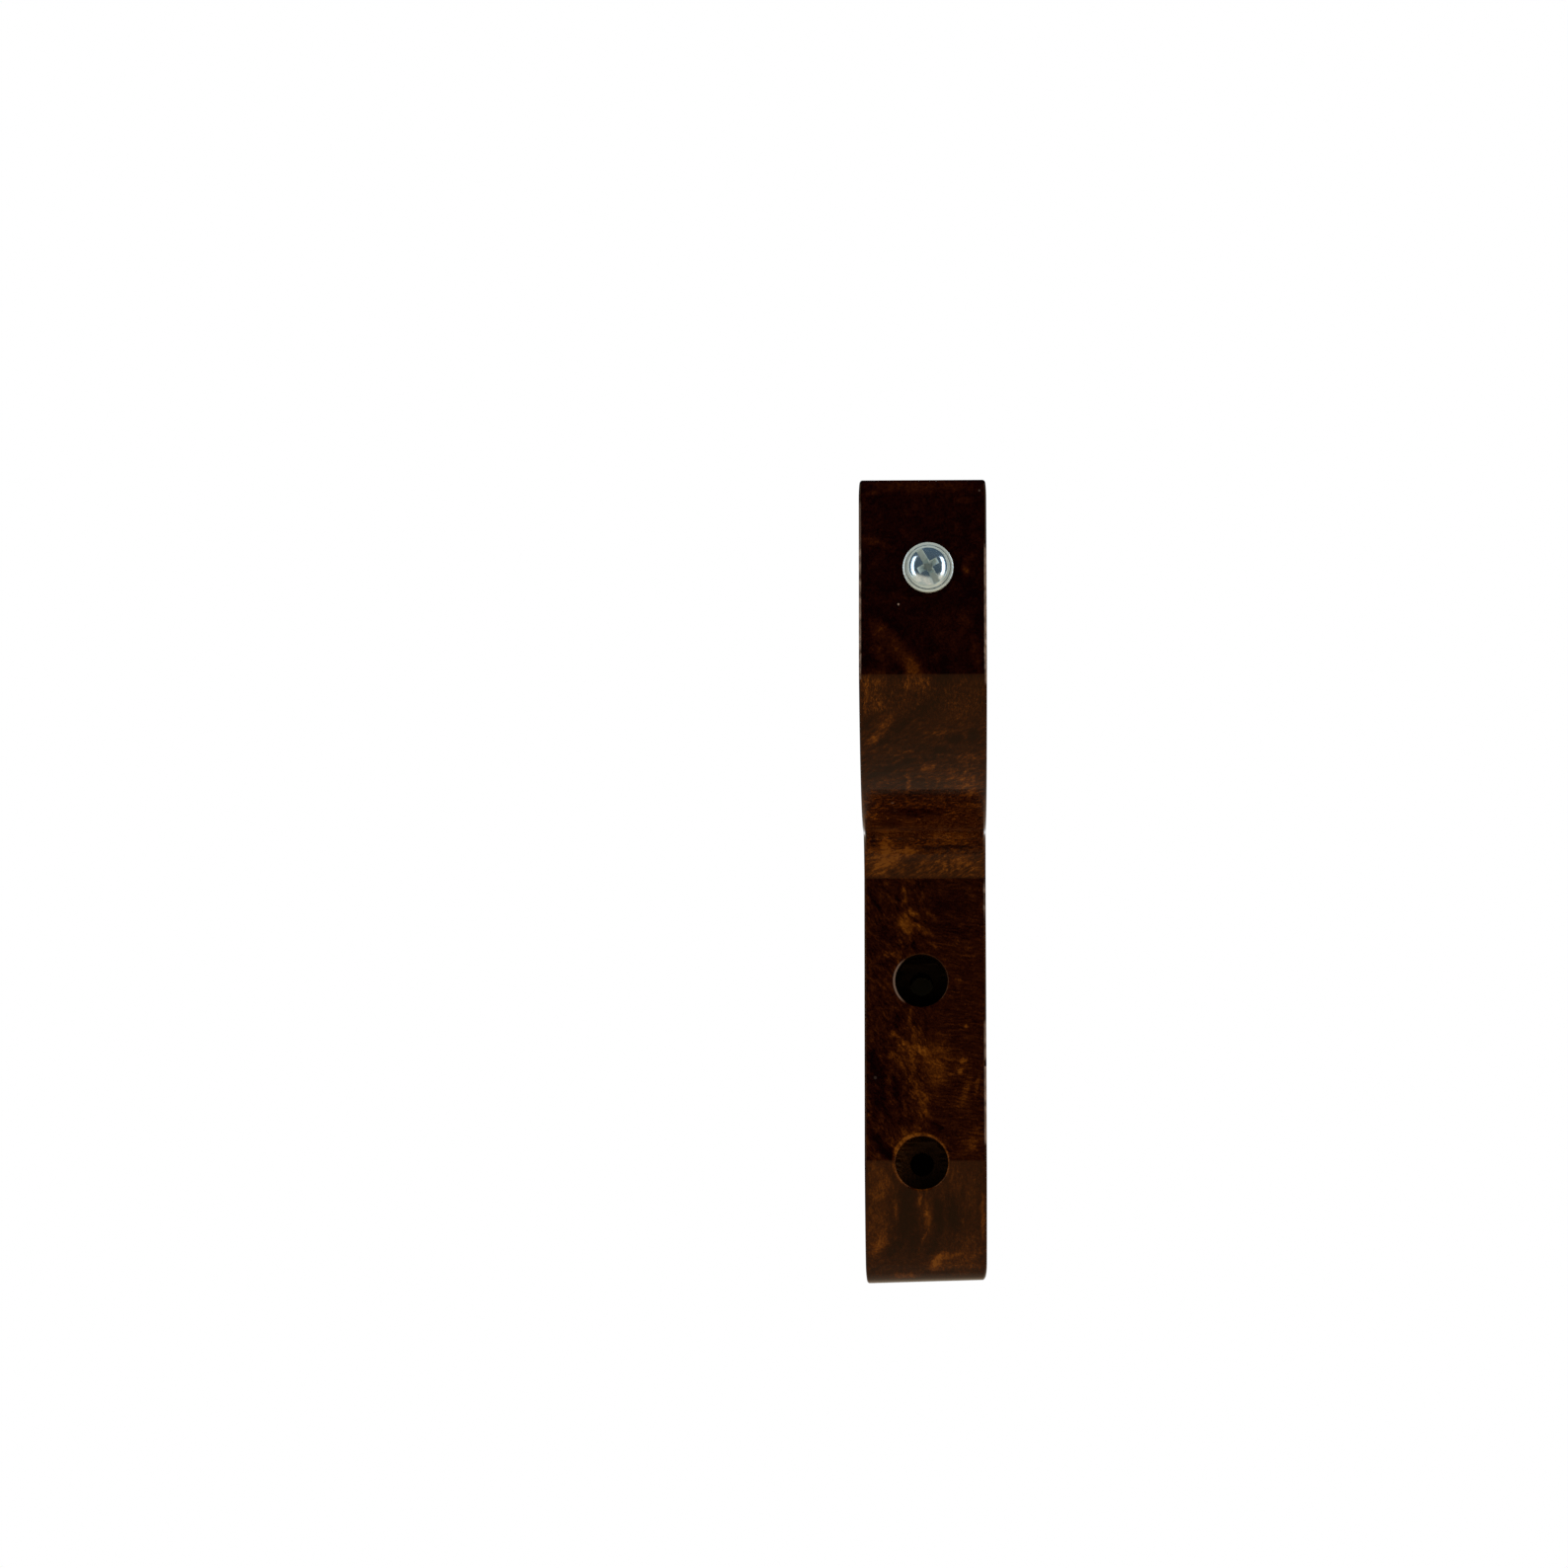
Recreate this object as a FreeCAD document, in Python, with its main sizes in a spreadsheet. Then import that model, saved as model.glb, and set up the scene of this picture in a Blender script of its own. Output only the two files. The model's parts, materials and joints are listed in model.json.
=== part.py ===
import FreeCAD, Part
import math
import os
import Sketcher

# Curtain pole bracket: a one-piece wooden arm screwed flat to the wall, with a bore across its
# head for the pole, and the flanged screw that goes through the head's front to hold the pole.
# Millimetres. The origin is on the wall face, midway between the two wall-screw holes;
# +Z is up, -Y is the front, +X is to the right of someone who faces the wall.

Vector = FreeCAD.Vector
Rotation = FreeCAD.Rotation

# What a constraint can name: a point of a line or arc, the sketch's two axes and its origin
START, END, CENTRE = range(1, 4)
ACROSS_AXIS, UP_AXIS = range(-1, -3, -1)
ORIGIN = (ACROSS_AXIS, START)

# Two places nearer than this are one place
NEAR = 1e-3

doc = FreeCAD.newDocument("CurtainPoleBracket")

# The driving dimensions, each with what it measures
sheet = doc.addObject("Spreadsheet::Sheet", "Sizes")
driving = [
    ("arm_width", 23.2, "thickness of the board that the arm is sawn from"),
    ("arm_shift", 0.75, "arm's middle to the right of the line of wall-screw holes"),
    ("pole_diameter", 25.4, "pole that the bracket takes"),
    ("pole_clearance", 0.4, "room round the pole, on the radius"),
    ("pole_projection", 50.0, "wall to the pole's axis"),
    ("wood_in_front", 9.4, "bore to the head's front face"),
    ("wood_above", 8.9, "bore to the top"),
    ("nose_below_bore", 0.9, "level of the bore's bottom down to the front face's lower edge"),
    ("nose_angle", 28.0, "turn of the underside away from the front face, in degrees"),
    ("underside_height", 30.8, "front face's lower edge down to the plate"),
    ("swell_radius", 45.0, "rounded upper part of the underside"),
    ("hollow_radius", 12.0, "hollowed lower part of the underside"),
    ("plate_thickness", 18.0, "wall to the plate's front face"),
    ("hole_below_shelf", 19.7, "top of the plate's front face down to the upper wall screw"),
    ("hole_spacing", 34.6, "one wall screw to the other"),
    ("hole_to_end", 22.3, "lower wall screw to the bottom end"),
    ("foot_height", 22.7, "length of the plate's end that curves back to the wall"),
    ("foot_thickness", 4.0, "wood left at the bottom end"),
    ("foot_radius", 44.0, "curve of the plate's end"),
    ("hole_diameter", 4.5, "clearance hole for a wall screw"),
    ("recess_diameter", 10.0, "counterbore for a wall screw's head"),
    ("recess_depth", 7.5, "plate's front face to the counterbore's floor"),
    ("curve_round", 2.5, "rounding where the curves meet the flat faces"),
    ("top_round", 1.2, "rounding of the top front edge"),
    ("end_round", 6.0, "rounding of the bottom end's front edge"),
    ("arris_round", 0.5, "sanded long edges"),
    ("mouth_round", 0.3, "eased mouths of the bore and the counterbores"),
    ("screw_rise", 5.6, "pole's axis up to the pole screw's axis"),
    ("screw_shift", 1.0, "pole screw to the right of the arm's middle"),
    ("thread_diameter", 4.0, "pole screw over its thread"),
    ("thread_clearance", 0.05, "wood to the thread's crests, on the radius"),
    ("tip_reach", 0.6, "pole screw's tip past the thinnest wood in front of the bore"),
    ("tip_chamfer", 0.5, "chamfer at the screw's tip"),
    ("flange_diameter", 9.2, "rim under the screw's dome"),
    ("flange_thickness", 0.8, "thickness of that rim"),
    ("flange_bevel", 0.25, "broken edge of that rim"),
    ("dome_diameter", 7.4, "screw's dome"),
    ("dome_side", 0.45, "upright side of the dome above the rim"),
    ("dome_rise", 1.35, "height of the dome's curved top"),
    ("slot_width", 1.1, "driving slot"),
    ("slot_depth", 1.2, "driving slot below the dome's top"),
    ("cross_span", 4.4, "cross recess over its wings"),
    ("cross_width", 1.15, "one wing of the cross recess"),
    ("cross_depth", 2.2, "cross recess below the dome's top"),
    ("cross_end_span", 1.6, "cross recess over its wings at the bottom"),
    ("cross_end_width", 0.75, "one wing at the bottom"),
    ("screw_turn", -61.0, "slot's turn from level, seen from the front, in degrees"),
]
for row, (alias, value, meaning) in enumerate(driving, start=1):
    sheet.set(f"A{row}", alias)
    sheet.set(f"B{row}", str(value))
    sheet.set(f"C{row}", meaning)
    sheet.setAlias(f"B{row}", alias)

# Sizes that follow from the driving ones
derived = [
    ("bore_radius", "=pole_diameter / 2 + pole_clearance"),
    ("head_reach", "=pole_projection + bore_radius + wood_in_front"),
    ("shelf_height", "=hole_spacing / 2 + hole_below_shelf"),
    ("pole_height", "=shelf_height + underside_height + nose_below_bore + bore_radius"),
    ("arm_top", "=pole_height + bore_radius + wood_above"),
    ("face_height", "=wood_above + 2 * bore_radius + nose_below_bore"),
    ("end_drop", "=hole_spacing / 2 + hole_to_end"),
    ("swell_setback", "=swell_radius * cos(nose_angle)"),
    ("recess_radius", "=recess_diameter / 2"),
    ("screw_across", "=arm_shift + screw_shift"),
    ("screw_height", "=pole_height + screw_rise"),
    ("screw_hole_radius", "=thread_diameter / 2 + thread_clearance"),
    ("screw_length", "=wood_in_front + tip_reach"),
    ("head_height", "=flange_thickness + dome_side + dome_rise"),
]
for row, (alias, formula) in enumerate(derived, start=len(driving) + 1):
    sheet.set(f"A{row}", alias)
    sheet.set(f"B{row}", formula)
    sheet.setAlias(f"B{row}", alias)
doc.recompute()


def size(alias):
    """The value of one of the sheet's cells."""
    return float(sheet.get(alias))


def new_sketch(body, name, plane_role, offset=None):
    """An empty sketch on one of the body's own planes, or a sheet size away from it."""
    plane = next(item for item in body.Origin.OriginFeatures if item.Role == plane_role)
    sketch = body.newObject("Sketcher::SketchObject", name)
    sketch.AttachmentSupport = [(plane, "")]
    sketch.MapMode = "FlatFace"
    if offset:
        sketch.setExpression("AttachmentOffset.Base.z", offset)
    return sketch


def relate(sketch, kind, *references):
    """Adds a relation that has no size, such as Coincident or Vertical."""
    sketch.addConstraint(Sketcher.Constraint(kind, *references))


def drive(sketch, formula, kind, *references):
    """Adds a dimension that a formula of the sheet's sizes drives."""
    value = float(sketch.evalExpression(formula))
    index = sketch.addConstraint(Sketcher.Constraint(kind, *references, value))
    sketch.setExpression(f"Constraints[{index}]", formula)


def add_line(sketch, start, end):
    """A straight line between two points near their final places; returns its number."""
    return sketch.addGeometry(Part.LineSegment(Vector(*start), Vector(*end)))


def add_arc(sketch, centre, start, end):
    """An anticlockwise arc between two points near their final places; returns its number."""
    circle = Part.Circle(Vector(*centre), Vector(0, 0, 1), math.dist(centre, start))
    angles = [math.atan2(up - centre[1], across - centre[0]) for across, up in (start, end)]
    return sketch.addGeometry(Part.ArcOfCircle(circle, *angles))


def add_hole(sketch, across, up, radius):
    """A circle whose place and radius are formulas of the sheet's sizes."""
    spot = [float(sketch.evalExpression(formula)) for formula in (across, up, radius)]
    hole = sketch.addGeometry(Part.Circle(Vector(spot[0], spot[1]), Vector(0, 0, 1), spot[2]))
    drive(sketch, radius, "Radius", hole)
    drive(sketch, across, "DistanceX", *ORIGIN, hole, CENTRE)
    drive(sketch, up, "DistanceY", *ORIGIN, hole, CENTRE)


def add_rectangle(sketch, length, width):
    """A rectangle about the origin, its sides formulas of the sheet's sizes."""
    half_length = float(sketch.evalExpression(length)) / 2
    half_width = float(sketch.evalExpression(width)) / 2
    corners = [
        (-half_length, -half_width),
        (half_length, -half_width),
        (half_length, half_width),
        (-half_length, half_width),
    ]
    near, right, far, left = [
        add_line(sketch, corner, corners[(i + 1) % 4]) for i, corner in enumerate(corners)
    ]
    for first, second in ((near, right), (right, far), (far, left), (left, near)):
        relate(sketch, "Coincident", first, END, second, START)
    for level in (near, far):
        relate(sketch, "Horizontal", level)
    for upright in (right, left):
        relate(sketch, "Vertical", upright)
    relate(sketch, "Symmetric", near, START, far, START, *ORIGIN)
    drive(sketch, length, "DistanceX", near, START, near, END)
    drive(sketch, width, "DistanceY", right, START, right, END)


def round_edges(body, name, radius, chosen):
    """Rounds those edges of the body that the chosen function picks."""
    doc.recompute()
    base = body.Tip
    names = [f"Edge{i}" for i, edge in enumerate(base.Shape.Edges, start=1) if chosen(edge)]
    fillet = body.newObject("PartDesign::Fillet", name)
    fillet.Base = (base, names)
    fillet.setExpression("Radius", radius)


# The wooden arm
arm = doc.addObject("PartDesign::Body", "Arm")
arm.Label = "bracket_arm"

# Corners of its side view, as (out from the wall, up); the wall is at 0 and the front is negative
top = size("arm_top")
bottom = -size("end_drop")
wall_top = (0, top)
wall_bottom = (0, bottom)
front_top = (-size("head_reach"), top)
nose = (-size("head_reach"), top - size("face_height"))
shelf = (-size("plate_thickness"), size("shelf_height"))
foot_start = (-size("plate_thickness"), bottom + size("foot_height"))
foot_end = (-size("foot_thickness"), bottom)


def beside(first, second, first_radius, second_radius, side):
    """The point at the two radii from the two points; side +1 is left of first to second."""
    apart = math.dist(first, second)
    along = (first_radius**2 - second_radius**2 + apart**2) / (2 * apart)
    aside = side * math.sqrt(first_radius**2 - along**2)
    run = ((second[0] - first[0]) / apart, (second[1] - first[1]) / apart)
    return (
        first[0] + run[0] * along - run[1] * aside,
        first[1] + run[1] * along + run[0] * aside,
    )


# Centres of the underside's two arcs, which meet smoothly at the bend, and of the foot's arc
swell = size("swell_radius")
hollow = size("hollow_radius")
swell_rise = swell * math.sin(math.radians(size("nose_angle")))
swell_centre = (nose[0] + size("swell_setback"), nose[1] + swell_rise)
hollow_centre = beside(swell_centre, shelf, swell + hollow, hollow, side=-1)
share = swell / (swell + hollow)
bend = [a + (b - a) * share for a, b in zip(swell_centre, hollow_centre)]
foot_centre = beside(foot_start, foot_end, size("foot_radius"), size("foot_radius"), side=1)

# The side view: flat back and top, flat front to the head, an underside that swells and then
# hollows down to the plate, and a plate whose bottom end curves back to the wall
side_view = new_sketch(arm, "SideView", "YZ_Plane", "Sizes.arm_shift")
TOP = add_line(side_view, wall_top, front_top)
FACE = add_line(side_view, front_top, nose)
SWELL = add_arc(side_view, swell_centre, nose, bend)
HOLLOW = add_arc(side_view, hollow_centre, shelf, bend)
PLATE = add_line(side_view, shelf, foot_start)
FOOT = add_arc(side_view, foot_centre, foot_start, foot_end)
BOTTOM = add_line(side_view, foot_end, wall_bottom)
BACK = add_line(side_view, wall_bottom, wall_top)

relate(side_view, "Coincident", TOP, END, FACE, START)
relate(side_view, "Coincident", FACE, END, SWELL, START)
relate(side_view, "Tangent", SWELL, END, HOLLOW, END)
relate(side_view, "Coincident", HOLLOW, START, PLATE, START)
relate(side_view, "Coincident", PLATE, END, FOOT, START)
relate(side_view, "Coincident", FOOT, END, BOTTOM, START)
relate(side_view, "Coincident", BOTTOM, END, BACK, START)
relate(side_view, "Coincident", BACK, END, TOP, START)
relate(side_view, "Horizontal", TOP)
relate(side_view, "Horizontal", BOTTOM)
relate(side_view, "Vertical", FACE)
relate(side_view, "Vertical", PLATE)
relate(side_view, "PointOnObject", BACK, START, UP_AXIS)
relate(side_view, "PointOnObject", BACK, END, UP_AXIS)
drive(side_view, "Sizes.arm_top", "DistanceY", *ORIGIN, BACK, END)
drive(side_view, "Sizes.end_drop", "DistanceY", BACK, START, *ORIGIN)
drive(side_view, "Sizes.head_reach", "DistanceX", TOP, END, TOP, START)
drive(side_view, "Sizes.face_height", "DistanceY", FACE, END, FACE, START)
drive(side_view, "Sizes.swell_radius", "Radius", SWELL)
drive(side_view, "Sizes.swell_setback", "DistanceX", FACE, END, SWELL, CENTRE)
drive(side_view, "Sizes.hollow_radius", "Radius", HOLLOW)
drive(side_view, "Sizes.underside_height", "DistanceY", PLATE, START, FACE, END)
drive(side_view, "Sizes.plate_thickness", "DistanceX", PLATE, START, *ORIGIN)
drive(side_view, "Sizes.foot_height", "DistanceY", BOTTOM, START, PLATE, END)
drive(side_view, "Sizes.foot_thickness", "DistanceX", BOTTOM, START, BOTTOM, END)
drive(side_view, "Sizes.foot_radius", "Radius", FOOT)

board = arm.newObject("PartDesign::Pad", "Board")
board.Profile = side_view
board.SideType = "Symmetric"
board.setExpression("Length", "Sizes.arm_width")


def lies_across(corners):
    """Picks the edges that run across the board through these corners of the side view."""

    def chosen(edge):
        box = edge.BoundBox
        is_point = box.YLength < NEAR and box.ZLength < NEAR
        return is_point and any(math.dist((box.YMin, box.ZMin), corner) < NEAR for corner in corners)

    return chosen


# The curves run into the flat faces without a hard line, and the two outer corners are rounded
round_edges(arm, "CurveRounds", "Sizes.curve_round", lies_across([nose, shelf, foot_start]))
round_edges(arm, "TopRound", "Sizes.top_round", lies_across([front_top]))
round_edges(arm, "EndRound", "Sizes.end_round", lies_across([foot_end]))

# The bore for the pole, right across the head
pole_circle = new_sketch(arm, "PoleCircle", "YZ_Plane", "Sizes.arm_shift")
add_hole(pole_circle, "-Sizes.pole_projection", "Sizes.pole_height", "Sizes.bore_radius")
pole_bore = arm.newObject("PartDesign::Pocket", "PoleBore")
pole_bore.Profile = pole_circle
pole_bore.Type = "ThroughAll"
pole_bore.SideType = "Symmetric"

# Two counterbored holes for the wall screws, drilled from the plate's front face
wall_spots = new_sketch(arm, "WallScrewSpots", "XZ_Plane", "Sizes.plate_thickness")
add_hole(wall_spots, "0", "Sizes.hole_spacing / 2", "Sizes.hole_diameter / 2")
add_hole(wall_spots, "0", "-Sizes.hole_spacing / 2", "Sizes.hole_diameter / 2")
doc.recompute()
wall_holes = arm.newObject("PartDesign::Hole", "WallScrewHoles")
wall_holes.Profile = wall_spots
wall_holes.DepthType = "ThroughAll"
wall_holes.HoleCutType = "Counterbore"
wall_holes.HoleCutCustomValues = True
wall_holes.setExpression("Diameter", "Sizes.hole_diameter")
wall_holes.setExpression("HoleCutDiameter", "Sizes.recess_diameter")
wall_holes.setExpression("HoleCutDepth", "Sizes.recess_depth")

# The hole for the pole screw, from the head's front face into the bore
screw_spot = new_sketch(arm, "PoleScrewSpot", "XZ_Plane", "Sizes.head_reach")
add_hole(screw_spot, "Sizes.screw_across", "Sizes.screw_height", "Sizes.screw_hole_radius")
screw_hole = arm.newObject("PartDesign::Pocket", "PoleScrewHole")
screw_hole.Profile = screw_spot
screw_hole.setExpression("Length", "Sizes.head_reach - Sizes.pole_projection")


def from_bore(edge):
    """How far an edge's middle is from the bore's axis."""
    middle = edge.valueAt((edge.FirstParameter + edge.LastParameter) / 2)
    return math.dist((middle.y, middle.z), (-size("pole_projection"), size("pole_height")))


def from_wall_hole(edge):
    """How far an edge's middle is from the nearer wall-screw hole's axis."""
    middle = edge.valueAt((edge.FirstParameter + edge.LastParameter) / 2)
    return math.dist((middle.x, abs(middle.z)), (0, size("hole_spacing") / 2))


def in_side(edge):
    """Whether an edge lies in one of the arm's two flat sides."""
    box = edge.BoundBox
    off_middle = abs(box.XMin - size("arm_shift"))
    return box.XLength < NEAR and abs(off_middle - size("arm_width") / 2) < NEAR


def is_long_arris(edge):
    """Picks the edges round both sides, apart from the bore's mouths and the wall face's edges."""
    at_wall = edge.BoundBox.YMin > -NEAR
    return in_side(edge) and not at_wall and from_bore(edge) > size("bore_radius") + NEAR


def is_mouth(edge):
    """Picks the bore's two mouths and the counterbores' front edges."""
    if in_side(edge):
        return from_bore(edge) < size("bore_radius") + NEAR
    box = edge.BoundBox
    recess_floor = size("recess_depth") - size("plate_thickness")
    is_round = box.XLength > NEAR and abs(from_wall_hole(edge) - size("recess_radius")) < NEAR
    return is_round and box.YMax < recess_floor - NEAR


# Sanded edges: the long arrises, then the mouths of the bore and the counterbores
round_edges(arm, "LongArrises", "Sizes.arris_round", is_long_arris)
round_edges(arm, "Mouths", "Sizes.mouth_round", is_mouth)

# The pole screw, drawn upright with its head on top and its seat at height 0
screw = doc.addObject("PartDesign::Body", "Screw")
screw.Label = "pole_screw"

# Half its side view, as (out from the axis, up): tip, shank, seat, rim, dome
shank = size("thread_diameter") / 2
tip = -size("screw_length")
chamfer = size("tip_chamfer")
flange = size("flange_diameter") / 2
rim = size("flange_thickness")
bevel = size("flange_bevel")
dome = size("dome_diameter") / 2
shoulder = rim + size("dome_side")
apex = size("head_height")
dome_radius = (dome**2 + (apex - shoulder) ** 2) / (2 * (apex - shoulder))
half_view = new_sketch(screw, "HalfSideView", "XZ_Plane")
TIP = add_line(half_view, (0, tip), (shank - chamfer, tip))
CHAMFER = add_line(half_view, (shank - chamfer, tip), (shank, tip + chamfer))
SHANK = add_line(half_view, (shank, tip + chamfer), (shank, 0))
SEAT = add_line(half_view, (shank, 0), (flange, 0))
RIM_EDGE = add_line(half_view, (flange, 0), (flange, rim - bevel))
BEVEL = add_line(half_view, (flange, rim - bevel), (flange - bevel, rim))
RIM_TOP = add_line(half_view, (flange - bevel, rim), (dome, rim))
DOME_SIDE = add_line(half_view, (dome, rim), (dome, shoulder))
DOME = add_arc(half_view, (0, apex - dome_radius), (dome, shoulder), (0, apex))
AXIS = add_line(half_view, (0, apex), (0, tip))

outline = [TIP, CHAMFER, SHANK, SEAT, RIM_EDGE, BEVEL, RIM_TOP, DOME_SIDE, DOME, AXIS]
for first, second in zip(outline, outline[1:] + outline[:1]):
    relate(half_view, "Coincident", first, END, second, START)
for level in (TIP, SEAT, RIM_TOP):
    relate(half_view, "Horizontal", level)
for upright in (SHANK, RIM_EDGE, DOME_SIDE):
    relate(half_view, "Vertical", upright)
relate(half_view, "PointOnObject", AXIS, START, UP_AXIS)
relate(half_view, "PointOnObject", AXIS, END, UP_AXIS)
relate(half_view, "PointOnObject", DOME, CENTRE, UP_AXIS)
relate(half_view, "PointOnObject", SEAT, START, ACROSS_AXIS)
drive(half_view, "Sizes.screw_length", "DistanceY", AXIS, END, *ORIGIN)
drive(half_view, "Sizes.thread_diameter / 2", "DistanceX", *ORIGIN, SEAT, START)
drive(half_view, "Sizes.tip_chamfer", "DistanceX", CHAMFER, START, CHAMFER, END)
drive(half_view, "Sizes.tip_chamfer", "DistanceY", CHAMFER, START, CHAMFER, END)
drive(half_view, "Sizes.flange_diameter / 2", "DistanceX", *ORIGIN, SEAT, END)
drive(half_view, "Sizes.flange_thickness", "DistanceY", SEAT, END, RIM_TOP, START)
drive(half_view, "Sizes.flange_bevel", "DistanceX", BEVEL, END, BEVEL, START)
drive(half_view, "Sizes.flange_bevel", "DistanceY", BEVEL, START, BEVEL, END)
drive(half_view, "Sizes.dome_diameter / 2", "DistanceX", *ORIGIN, RIM_TOP, END)
drive(half_view, "Sizes.dome_side", "DistanceY", DOME_SIDE, START, DOME_SIDE, END)
drive(half_view, "Sizes.dome_rise", "DistanceY", DOME, START, DOME, END)
turned = screw.newObject("PartDesign::Revolution", "Turned")
turned.Profile = half_view
turned.ReferenceAxis = (half_view, ["V_Axis"])
turned.Angle = 360

# The driving slot, right across the dome
slot_outline = new_sketch(screw, "SlotOutline", "XY_Plane", "Sizes.head_height")
add_rectangle(slot_outline, "Sizes.dome_diameter", "Sizes.slot_width")
slot = screw.newObject("PartDesign::Pocket", "Slot")
slot.Profile = slot_outline
slot.setExpression("Length", "Sizes.slot_depth")

# The cross recess in the middle of the slot: two pairs of wings that taper to their bottom
for pair, swap in (("AlongSlot", False), ("AcrossSlot", True)):
    levels = [
        ("Mouth", "Sizes.head_height", "Sizes.cross_span", "Sizes.cross_width"),
        (
            "Bottom",
            "Sizes.head_height - Sizes.cross_depth",
            "Sizes.cross_end_span",
            "Sizes.cross_end_width",
        ),
    ]
    sections = []
    for level, height, span, width in levels:
        section = new_sketch(screw, level + pair, "XY_Plane", height)
        sides = (width, span) if swap else (span, width)
        add_rectangle(section, *sides)
        sections.append(section)
    wings = screw.newObject("PartDesign::SubtractiveLoft", "Wings" + pair)
    wings.Profile = sections[0]
    wings.Sections = sections[1:]
    wings.Ruled = True

# Its place: seated on the head's front face, the head to the front, the slot turned from level
facing_front = Rotation(Vector(1, 0, 0), 90)
screw.Placement.Rotation = facing_front.multiply(Rotation(Vector(0, 0, 1), size("screw_turn")))
screw.setExpression("Placement.Base.x", "Sizes.screw_across")
screw.setExpression("Placement.Base.y", "-Sizes.head_reach")
screw.setExpression("Placement.Base.z", "Sizes.screw_height")
doc.recompute()

# Nothing is written unless every feature was built and each piece is one sound solid
for item in doc.Objects:
    if "Invalid" in item.State or "Error" in item.State:
        raise RuntimeError(f"{item.Label} was not built")
pieces = [arm, screw]
for piece in pieces:
    shape = piece.Shape
    if shape.isNull() or not shape.isValid() or len(shape.Solids) != 1:
        raise RuntimeError(f"{piece.Label} is not one sound solid")
os.makedirs("parts", exist_ok=True)
for piece in pieces:
    piece.Shape.exportStep(f"parts/{piece.Label}.step")
    print(piece.Label, round(piece.Shape.Volume, 1), "mm3")
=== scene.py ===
import json
import math

import bmesh
import bpy
from mathutils import Euler, Matrix, Vector, noise
from mathutils.bvhtree import BVHTree


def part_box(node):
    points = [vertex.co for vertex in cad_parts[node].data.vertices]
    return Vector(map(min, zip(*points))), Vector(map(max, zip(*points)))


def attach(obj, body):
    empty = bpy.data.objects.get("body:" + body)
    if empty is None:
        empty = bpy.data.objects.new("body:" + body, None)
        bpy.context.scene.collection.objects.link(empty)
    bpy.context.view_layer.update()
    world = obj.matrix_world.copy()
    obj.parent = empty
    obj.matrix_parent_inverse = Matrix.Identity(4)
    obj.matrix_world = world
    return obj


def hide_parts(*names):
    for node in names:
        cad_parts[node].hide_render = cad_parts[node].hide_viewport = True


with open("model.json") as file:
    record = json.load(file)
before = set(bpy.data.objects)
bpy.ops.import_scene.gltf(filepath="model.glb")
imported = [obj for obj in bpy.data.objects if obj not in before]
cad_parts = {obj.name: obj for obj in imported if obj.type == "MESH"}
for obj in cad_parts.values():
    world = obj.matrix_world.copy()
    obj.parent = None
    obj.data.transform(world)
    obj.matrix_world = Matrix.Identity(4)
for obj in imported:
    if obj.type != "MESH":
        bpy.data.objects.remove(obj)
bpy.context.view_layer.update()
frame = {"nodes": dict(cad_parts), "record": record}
MM = 0.001

# The arm: one piece of dark, figured hardwood, bandsawn to its side view from a board, drilled,
# sanded by hand and dipped in clear lacquer. The sanding took a little more off its two ends,
# and its long front edges have since lost chips of lacquer and wood.
left_side, right_side = (corner.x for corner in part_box("bracket_arm"))
arm_bottom, arm_top = (corner.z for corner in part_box("bracket_arm"))
plate_top = 37.0 * MM
arris = 0.5 * MM
slice_step = 1.0 * MM
chip_step = 0.25 * MM
sliced_from, sliced_to = -72.0 * MM, -19.0 * MM
sanded_length = 3.5 * MM
sanded_off = 0.22 * MM

# The places and sizes that the wood's patterns use are in mm
pole_axis = Vector(frame["record"]["mounts"][0]["pos_m"]) / MM
pole_bore_radius = frame["record"]["mounts"][0]["dims"]["r_mm"]
rim_width = 1.0
wall_screw_height = 17.3
counterbore_radius = 5.0
head_front = -72.5
plate_front = -18.0

# Chips in the long front edges: side, height, half length and depth in mm, and how bare the wood is
edge_chips = [
    ("right", 90.5, 1.6, 0.05, 0.2),
    ("right", 86.5, 2.2, 0.06, 0.3),
    ("right", 82.0, 1.6, 0.08, 0.3),
    ("right", 79.0, 1.3, 0.12, 0.5),
    ("right", 77.4, 0.8, 0.10, 0.3),
    ("right", 74.9, 1.0, 0.16, 0.6),
    ("right", 72.2, 0.9, 0.30, 1.0),
    ("right", 70.8, 0.6, 0.20, 0.8),
    ("right", 69.4, 0.8, 0.14, 0.5),
    ("right", 34.6, 0.6, 0.14, 0.7),
    ("right", 31.2, 0.7, 0.10, 0.5),
    ("right", 1.5, 0.5, 0.34, 0.0),
    ("left", 75.8, 0.7, 0.08, 0.3),
    ("left", 71.3, 0.6, 0.14, 0.5),
    ("left", 69.6, 0.5, 0.08, 0.3),
]

# Long edges made pale, where the lacquer is worn and as painted highlights of the lamps along their
# rounding: side, top and bottom in mm, and how pale
worn_and_glinting_edges = [
    ("left", 99.0, 91.0, 0.34),
    ("left", 91.0, 73.0, 0.62),
    ("left", 73.0, 67.0, 0.42),
    ("right", 91.0, 84.0, 0.90),
    ("right", 84.0, 66.5, 0.85),
    ("right", 36.0, 29.0, 0.20),
    ("right", 9.0, 2.0, 0.80),
    ("right", 1.0, -14.0, 0.85),
]


def merged_copy(node):
    """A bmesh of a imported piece, its points merged and its flat faces whole again."""
    bm = bmesh.new()
    bm.from_mesh(frame["nodes"][node].data)
    bmesh.ops.remove_doubles(bm, verts=bm.verts, dist=0.001 * MM)
    flat_within = math.radians(0.05)
    bmesh.ops.dissolve_limit(bm, angle_limit=flat_within, verts=bm.verts, edges=bm.edges)
    return bm


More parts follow.
